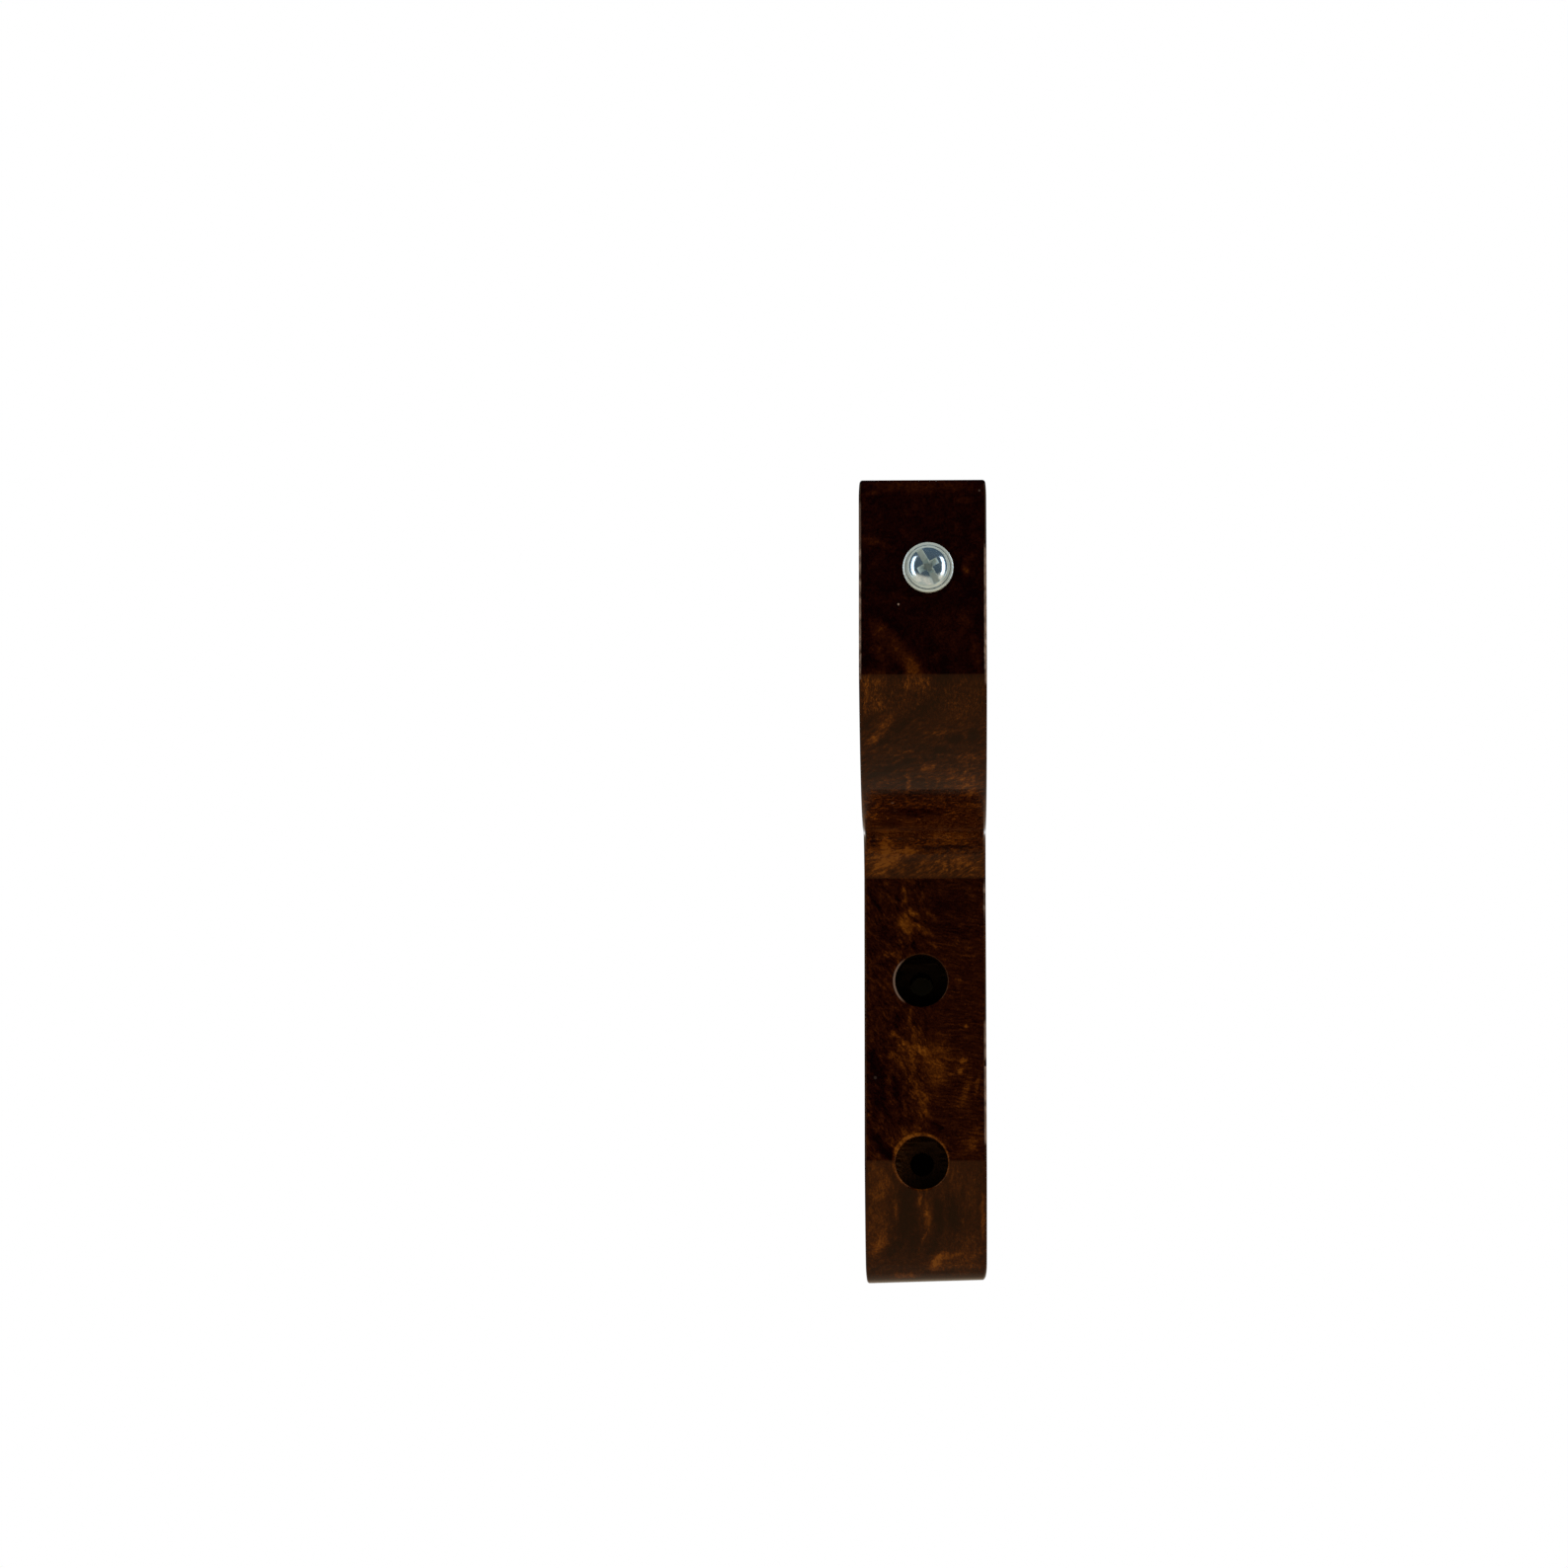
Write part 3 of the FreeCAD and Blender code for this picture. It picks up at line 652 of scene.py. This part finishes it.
def wandering(tree, in_mm):
    """The place moved as fibres wander: a slow sway, and a raggedness at the figure's edges."""
    place = in_mm
    for size, reach in ((7.0, 1.4), (1.6, 0.8), (0.5, 0.4)):
        wander = add_node(
            tree, "ShaderNodeTexNoise", {"Vector": in_mm, "Scale": 1 / size, "Detail": 2.0}
        ).outputs["Color"]
        centred = vector_math(tree, "ADD", {0: wander, 1: (-0.5, -0.5, -0.5)})[0]
        moved = vector_math(tree, "SCALE", {0: centred, "Scale": reach})[0]
        place = vector_math(tree, "ADD", {0: place, 1: moved})[0]
    return place


# The wood's mean tone, its colour at each tone, its near-black inside the holes (painted shade in the
# screw holes), and its pale colour where it is bare, which also serves the painted highlights
mean_tone = 0.38
wood_shades = [
    (0.00, (0.0026, 0.0003, 0.0004)),
    (0.20, (0.0065, 0.0008, 0.0005)),
    (0.40, (0.0130, 0.0024, 0.0006)),
    (0.55, (0.0230, 0.0049, 0.0008)),
    (0.70, (0.0440, 0.0110, 0.0011)),
    (0.85, (0.0760, 0.0205, 0.0016)),
    (1.00, (0.1250, 0.0400, 0.0040)),
]
drilled_and_shade_colour = (0.0006, 0.0004, 0.0003, 1)
bare_and_glint_colour = (0.24, 0.17, 0.13, 1)


def wood_tone(tree, place, plane, figures, front_grain):
    """The wood's tone by its figure and its grain, with painted shade on the head's front and painted
    light on the underside's lower part, from 0, near black, to 1, light amber.
    """
    front = add_node(tree, "ShaderNodeAttribute", attribute_name="front_share").outputs["Fac"]
    upright = add_node(tree, "ShaderNodeSeparateXYZ", {"Vector": place}).outputs["Z"]
    figure = 0.0
    for streaks in figures:
        figure = added(tree, figure, figure_on_front(tree, place, streaks, plane))
    # Painted shade and light: the head's front face is made darker, and the underside's lower part, which
    # faces down, lighter, as the light falls on them
    painted_shade_on_head = between(tree, upright, 66.0, 69.0, high=-0.26)
    painted_light_in_hollow = between(tree, upright, 46.5, 50.0, 0.20, 0.0)
    above_plate = between(tree, upright, 36.5, 37.5)
    steady = added(tree, painted_shade_on_head, scaled(tree, painted_light_in_hollow, above_plate))
    side_bands = scaled(tree, grain(tree, place, (1.6, 1.8, 22.0)), 1.1)
    side_fibres = scaled(tree, grain(tree, place, (0.35, 0.35, 3.2)), 0.7)
    on_sides = added(tree, side_bands, side_fibres)
    texture = mixed(tree, front, on_sides, front_grain(tree, place, upright))
    return added(tree, added(tree, figure, steady), added(tree, texture, mean_tone))


def wood_colour(tree, tone, drilled_and_shaded, bare):
    """The colour for this tone, under the darkening inside the holes, partly painted shade, and the pale
    of wear and of painted highlights.
    """
    ramp = add_node(tree, "ShaderNodeValToRGB", {"Fac": tone})
    elements = ramp.color_ramp.elements
    while len(elements) < len(wood_shades):
        elements.new(0.5)
    for element, (position, shade) in zip(elements, wood_shades):
        element.position = position
        element.color = (*shade, 1)
    colour = blended(tree, drilled_and_shaded, ramp.outputs["Color"], drilled_and_shade_colour)
    return blended(tree, bare, colour, bare_and_glint_colour)


def lacquered_wood(name, plane, figures, specks, front_grain, hole_marks):
    """Dark red-brown hardwood with amber and near-black figure, under a thin clear lacquer, with painted
    shade and painted highlights in its colour.
    """
    material, tree, output = new_material(name)
    in_mm = place_in_mm(tree)
    place = wandering(tree, in_mm)
    worn = add_node(tree, "ShaderNodeAttribute", attribute_name="bare_wood_and_glints").outputs["Fac"]
    drilled_and_shaded, painted_glint_mouth, amber_mouth = hole_marks(tree, in_mm)
    # The pale marks: bare wood in chips, worn lacquer and specks, and painted highlights on the long
    # edges and the upper screw hole's mouth
    bare = larger(tree, worn, painted_glint_mouth)
    bare = larger(tree, bare, pale_specks(tree, in_mm, specks, plane))
    tone = wood_tone(tree, place, plane, figures, front_grain)
    tone = added(tree, tone, amber_mouth)
    colour = wood_colour(tree, tone, drilled_and_shaded, bare)

    # The lacquer is dull inside the holes and where the wood is bare or carries a painted highlight, and
    # has a faint orange-peel ripple
    gloss_noise = grain(tree, in_mm, (1.1, 1.1, 1.1))
    roughness = added(tree, scaled(tree, gloss_noise, 0.08), 0.11)
    roughness = added(tree, roughness, scaled(tree, drilled_and_shaded, 0.45))
    roughness = added(tree, roughness, scaled(tree, bare, 0.4))
    peel = add_node(
        tree, "ShaderNodeTexNoise", {"Vector": in_mm, "Scale": 0.45, "Detail": 2.0}
    ).outputs["Fac"]
    ripple = add_node(
        tree, "ShaderNodeBump", {"Height": peel, "Strength": 1.0, "Distance": 0.010 * MM}
    ).outputs["Normal"]
    surface = add_node(
        tree,
        "ShaderNodeBsdfPrincipled",
        {
            "Base Color": colour,
            "Roughness": roughness,
            "IOR": 1.45,
            "Specular IOR Level": 0.20,
            "Specular Tint": (1.0, 0.6, 0.3, 1),
            "Normal": ripple,
        },
    )
    tree.links.new(surface.outputs[0], output.inputs["Surface"])
    return material


head_wood = lacquered_wood(
    "lacquered_head",
    head_front,
    [head_figure, underside_figure],
    head_specks,
    head_grain,
    pole_bore_marks,
)
plate_wood = lacquered_wood(
    "lacquered_plate",
    plate_front,
    [plate_figure, foot_figure],
    plate_specks,
    plate_grain,
    screw_hole_marks,
)
arm.data.materials.append(head_wood)
arm.data.materials.append(plate_wood)
for face in arm.data.polygons:
    face.material_index = 0 if face.center.z > plate_top else 1

# The pole screw: a zinc-plated steel machine screw that goes through the head's front and bears
# on the pole. Its head is forged with a thin rim, a ring step and a dome, then slotted and
# punched with a cross; its thread is rolled.
screw_low, screw_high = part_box("pole_screw")
seat_point = (screw_low + screw_high) / 2
seat_point.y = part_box("bracket_arm")[0].y
screw_length = screw_high.y - seat_point.y
head_height = seat_point.y - screw_low.y
rim_radius = (screw_high.x - screw_low.x) / 2
crest_radius = 2.0 * MM
root_radius = 1.62 * MM
thread_pitch = 0.7 * MM
tip_chamfer = 0.5 * MM
shank_overlap = 0.4 * MM
dome_edge = 3.46 * MM
dome_drop = 0.95 * MM
dome_power = 4.0
dome_rings = 16
slot_turn = math.radians(-61)
slot_width = 1.15 * MM
slot_depth = 1.2 * MM
slot_floor_length = 6.6 * MM
cross_depth = 2.2 * MM
cross_mouth = (4.6 * MM, 1.25 * MM)
cross_floor = (1.6 * MM, 0.75 * MM)

# The head's outline below its dome, as out and up in mm: the rim with its groove, then the step
groove_radius = 4.01
rim_profile = [(4.60, 0.0), (4.60, 0.52), (4.52, 0.70), (4.36, 0.79), (4.07, 0.80), (groove_radius, 0.66)]
step_profile = [(3.95, 0.82), (3.90, 0.90), (3.54, 1.02), (3.49, 1.10)]


def spun(name, profile, steps=96, turns=1.0, rise=0.0):
    """A closed piece turned about the upright axis from (out, up) points in metres."""
    bm = bmesh.new()
    verts = [bm.verts.new((out, 0, up)) for out, up in profile]
    edges = [bm.edges.new(pair) for pair in zip(verts, verts[1:])]
    bmesh.ops.spin(
        bm,
        geom=verts + edges,
        cent=(0, 0, 0),
        axis=(0, 0, 1),
        dvec=(0, 0, rise / steps),
        angle=math.tau * turns,
        steps=round(steps * turns),
        use_merge=rise == 0.0,
    )
    bmesh.ops.remove_doubles(bm, verts=bm.verts, dist=0.0005 * MM)
    bmesh.ops.holes_fill(bm, edges=[edge for edge in bm.edges if edge.is_boundary], sides=0)
    bmesh.ops.recalc_face_normals(bm, faces=bm.faces)
    return finished_piece(name, bm)


def joined(piece, tool, operation):
    """Joins the tool to the piece, or cuts it out of it, and uses the tool up."""
    boolean = piece.modifiers.new("work", "BOOLEAN")
    boolean.operation = operation
    boolean.solver = "EXACT"
    boolean.object = tool
    bpy.context.view_layer.update()
    worked = piece.evaluated_get(bpy.context.evaluated_depsgraph_get())
    mesh = bpy.data.meshes.new_from_object(worked)
    piece.modifiers.clear()
    piece.data = mesh
    bpy.data.objects.remove(tool)


def tapered_bar(name, top, bottom, top_size, bottom_size):
    """A punch: a square-cornered bar whose lower end is smaller than its upper one."""
    bm = bmesh.new()
    bmesh.ops.create_cube(bm, size=1.0)
    for vert in bm.verts:
        length, width = top_size if vert.co.z > 0 else bottom_size
        vert.co = Vector((vert.co.x * length, vert.co.y * width, top if vert.co.z > 0 else bottom))
    bmesh.ops.recalc_face_normals(bm, faces=bm.faces)
    return finished_piece(name, bm)


def thread_blank():
    """The screw's shank before it is cut: a rod with a chamfered tip."""
    return spun(
        "thread_blank",
        [
            (0, -screw_length),
            (crest_radius - tip_chamfer, -screw_length),
            (crest_radius, tip_chamfer - screw_length),
            (crest_radius, shank_overlap),
            (0, shank_overlap),
        ],
        steps=48,
    )


def rolled_thread():
    """A helical ridge, one turn after another, longer than the shank at both ends."""
    flat = thread_pitch / 8
    ridge = [
        (crest_radius, 0.0),
        (crest_radius, flat),
        (root_radius, thread_pitch / 2),
        (root_radius, thread_pitch / 2 + flat),
        (crest_radius, thread_pitch),
    ]
    turns = math.ceil(screw_length / thread_pitch) + 3
    start = -screw_length - 2 * thread_pitch
    return spun(
        "rolled_thread",
        [(out, up + start) for out, up in ridge],
        steps=48,
        turns=turns,
        rise=thread_pitch,
    )


dome_profile = []
for ring in range(dome_rings + 1):
    share = 1 - ring / dome_rings
    dome_profile.append((dome_edge * share, head_height - dome_drop * share**dome_power))
outline = [(0.0, 0.0)] + [(out * MM, up * MM) for out, up in rim_profile + step_profile]
screw = spun("slotted_pole_screw", outline + dome_profile, steps=128)
shank = thread_blank()
joined(shank, rolled_thread(), "INTERSECT")
joined(screw, shank, "UNION")
slot = tapered_bar(
    "slot_cutter",
    top=head_height + MM,
    bottom=head_height - slot_depth,
    top_size=(2.2 * rim_radius, slot_width),
    bottom_size=(slot_floor_length, slot_width),
)
joined(screw, slot, "DIFFERENCE")
for turned in (0, 90):
    wings = tapered_bar(
        "cross_punch",
        top=head_height + 0.3 * MM,
        bottom=head_height - cross_depth,
        top_size=cross_mouth,
        bottom_size=cross_floor,
    )
    wings.data.transform(Matrix.Rotation(math.radians(turned), 4, "Z"))
    joined(screw, wings, "DIFFERENCE")
to_front = Matrix.Rotation(math.radians(90), 4, "X")
seated = Matrix.Translation(seat_point) @ to_front @ Matrix.Rotation(slot_turn, 4, "Z")
screw.data.transform(seated)
screw.data.shade_smooth()
screw.data.set_sharp_from_angle(angle=math.radians(35))
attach(screw, "root")
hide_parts("pole_screw")


def bright_zinc():
    """Bright blue-white zinc plating, a little cloudy, with fine marks from the barrel."""
    material, tree, output = new_material("bright_zinc")
    in_mm = place_in_mm(tree)
    clouds = grain(tree, in_mm, (1.3, 1.3, 1.3), detail=4.0)
    marks = grain(tree, in_mm, (0.25, 0.25, 0.9), lean=35)
    tint = between(tree, clouds, -0.10, 0.16)
    colour = blended(tree, tint, (0.36, 0.50, 0.62, 1), (0.62, 0.74, 0.84, 1))
    cloudy = added(tree, scaled(tree, clouds, 0.25), 0.16)
    dents = add_node(
        tree,
        "ShaderNodeBump",
        {"Height": added(tree, clouds, scaled(tree, marks, 0.5)), "Distance": 0.006 * MM},
    ).outputs["Normal"]
    mirror = add_node(
        tree,
        "ShaderNodeBsdfPrincipled",
        {"Base Color": colour, "Metallic": 1.0, "Roughness": cloudy, "Normal": dents},
    ).outputs[0]

    # The dome is the brightest; the rim, the slot and the cross are duller, and the groove dark
    axis_point = (seat_point.x / MM, 0, seat_point.z / MM)
    from_axis = off_axis(tree, in_mm, (1, 0, 1), axis_point)
    height = add_node(tree, "ShaderNodeSeparateXYZ", {"Vector": in_mm}).outputs["Y"]
    above_seat = added(tree, scaled(tree, height, -1.0), seat_point.y / MM)
    dome_share = reckoned(tree, "POWER", scaled(tree, from_axis, MM / dome_edge), dome_power)
    dome_level = added(tree, scaled(tree, dome_share, -dome_drop / MM), head_height / MM)
    sunk = reckoned(tree, "SUBTRACT", dome_level, above_seat)
    in_slot = between(tree, sunk, 0.04, 0.16)
    on_rim = between(tree, from_axis, 3.44, 3.50)
    off_groove = added(tree, from_axis, -groove_radius)
    groove = between(tree, off_groove, 0.02, 0.10, 0.8, 0.0)
    groove = scaled(tree, groove, between(tree, off_groove, -0.10, -0.02))
    dull = added(tree, scaled(tree, in_slot, 0.34), 0.12)
    dull = mixed(tree, on_rim, dull, 0.42)
    dull = scaled(tree, dull, reckoned(tree, "SUBTRACT", 1.0, groove))
    pale_parts = larger(tree, in_slot, on_rim)
    hazy = blended(tree, pale_parts, (0.36, 0.62, 0.86, 1), (0.74, 0.84, 0.77, 1))
    haze = add_node(tree, "ShaderNodeBsdfDiffuse", {"Color": hazy}).outputs[0]
    surface = add_node(tree, "ShaderNodeMixShader", {0: dull, 1: mirror, 2: haze})
    tree.links.new(surface.outputs[0], output.inputs["Surface"])
    return material


screw.data.materials.clear()
screw.data.materials.append(bright_zinc())

# The studio: a pale floor well below the arm that fades into a white surround, and soft lamps,
# one at either side of the front and one above.
floor_level = -0.25
floor_radius = 2.5
fade_start, fade_end = 0.7, 2.3
floor_mesh = bmesh.new()
bmesh.ops.create_circle(floor_mesh, cap_ends=True, segments=96, radius=floor_radius)
bmesh.ops.translate(floor_mesh, verts=floor_mesh.verts, vec=(0, 0, floor_level))
floor = finished_piece("floor", floor_mesh)
paper, tree, output = new_material("pale_floor")
coords = add_node(tree, "ShaderNodeTexCoord").outputs["Object"]
from_middle = vector_math(tree, "LENGTH", {0: coords})["Value"]
fade = between(tree, from_middle, fade_start, fade_end)
matt = add_node(tree, "ShaderNodeBsdfDiffuse", {"Color": (0.76, 0.60, 0.42, 1)}).outputs[0]
clear = add_node(tree, "ShaderNodeBsdfTransparent").outputs[0]
edge = add_node(tree, "ShaderNodeMixShader", {0: fade, 1: matt, 2: clear}).outputs[0]
tree.links.new(edge, output.inputs["Surface"])
floor.data.materials.append(paper)

# The surround is white to the camera and to reflections that go nearly straight back. Other
# reflections see a dark room, and the fill light on matt surfaces is an even grey.
world = bpy.data.worlds.new("studio")
bpy.context.scene.world = world
world.use_nodes = True
tree = world.node_tree
tree.nodes.clear()
output = tree.nodes.new("ShaderNodeOutputWorld")
rays = add_node(tree, "ShaderNodeLightPath").outputs
direction = add_node(tree, "ShaderNodeTexCoord").outputs["Generated"]
to_back = add_node(tree, "ShaderNodeSeparateXYZ", {"Vector": direction}).outputs["Y"]
straight_back = between(tree, to_back, 0.75, 0.95)
bounced = added(tree, rays["Is Glossy Ray"], rays["Is Transmission Ray"])
seen_white = larger(tree, rays["Is Camera Ray"], scaled(tree, bounced, straight_back))
dark_room = (0.008, 0.008, 0.009, 1)
grey_fill = (0.45, 0.45, 0.45, 1)
white = (1, 1, 1, 1)
shade = blended(tree, rays["Is Diffuse Ray"], dark_room, grey_fill)
shade = blended(tree, seen_white, shade, white)
glow = add_node(tree, "ShaderNodeBackground", {"Color": shade, "Strength": 1.0}).outputs[0]
tree.links.new(glow, output.inputs["Surface"])

lamps_aim = Vector((0, -0.04, 0.03))


def softbox(name, azimuth, elevation, distance, width, height, power):
    """A soft lamp aimed at the arm; azimuth 0 is straight in front of it."""
    turned, raised = math.radians(azimuth), math.radians(elevation)
    level_reach = math.cos(raised)
    away = Vector((math.sin(turned) * level_reach, -math.cos(turned) * level_reach, math.sin(raised)))
    light = bpy.data.lights.new(name, "AREA")
    light.shape = "RECTANGLE"
    light.size = width
    light.size_y = height
    light.energy = power
    lamp = bpy.data.objects.new(name, light)
    lamp.location = lamps_aim + away * distance
    lamp.rotation_euler = away.to_track_quat("Z", "Y").to_euler()
    bpy.context.scene.collection.objects.link(lamp)
    return lamp


softbox("left_softbox", azimuth=-61, elevation=6, distance=0.9, width=0.4, height=1.3, power=5.2)
softbox("right_softbox", azimuth=61, elevation=6, distance=0.9, width=0.4, height=1.3, power=5.2)
top = softbox("top_softbox", azimuth=0, elevation=80, distance=1.1, width=0.9, height=0.9, power=8)
top.visible_glossy = False

# Close behind each wall-screw hole stands a small dim disc, khaki behind the upper hole and nearly black
# behind the lower one, painted shade for the shadowed surface seen through the holes. It shows through
# the hole from the front, and nowhere else.
card_radius = 2.9 * MM
card_gap = 0.3 * MM
card_mesh = bmesh.new()
for height in (wall_screw_height, -wall_screw_height):
    place = Matrix.Translation((0, height * MM, 0))
    bmesh.ops.create_circle(card_mesh, cap_ends=True, segments=48, radius=card_radius, matrix=place)
bmesh.ops.rotate(card_mesh, verts=card_mesh.verts, matrix=Matrix.Rotation(math.radians(90), 3, "X"))
bmesh.ops.translate(card_mesh, verts=card_mesh.verts, vec=(0, card_gap, 0))
card = finished_piece("dim_card", card_mesh)
dim, tree, output = new_material("dim_card")
from_behind = add_node(tree, "ShaderNodeNewGeometry").outputs["Backfacing"]
coords = add_node(tree, "ShaderNodeTexCoord").outputs["Object"]
card_height = add_node(tree, "ShaderNodeSeparateXYZ", {"Vector": coords}).outputs["Z"]
upper_half = between(tree, card_height, -0.005, 0.005)
near_black = (0.008, 0.004, 0.002, 1)
khaki = (0.10, 0.08, 0.04, 1)
card_colour = blended(tree, upper_half, near_black, khaki)
dark = add_node(tree, "ShaderNodeBsdfDiffuse", {"Color": card_colour}).outputs[0]
clear = add_node(tree, "ShaderNodeBsdfTransparent").outputs[0]
one_sided = add_node(tree, "ShaderNodeMixShader", {0: from_behind, 1: dark, 2: clear}).outputs[0]
tree.links.new(one_sided, output.inputs["Surface"])
card.data.materials.append(dim)

# The camera: a long lens below the arm's middle and well in front of it, looking up a little.
# Its place and its three small turns, in radians, fit the arm's outline and its holes.
camera_data = bpy.data.cameras.new("camera")
camera_data.sensor_width = 36
camera_data.lens = 112.65
camera_data.clip_start = 0.05
camera_data.clip_end = 50
camera = bpy.data.objects.new("camera", camera_data)
bpy.context.scene.collection.objects.link(camera)
pitch, yaw, roll = 0.1326, 0.0339, 0.001
looking = Matrix.Rotation(yaw, 3, "Z") @ Matrix.Rotation(pitch, 3, "X")
right, ahead, up = looking.col[0], looking.col[1], looking.col[2]
level = right * math.cos(roll) + up * math.sin(roll)
upward = up * math.cos(roll) - right * math.sin(roll)
turn = Matrix((level, upward, -ahead)).transposed()
camera.matrix_world = Matrix.Translation(eye * MM) @ turn.to_4x4()
bpy.context.scene.camera = camera
bpy.context.scene.view_settings.view_transform = "Standard"

bpy.context.view_layer.update()
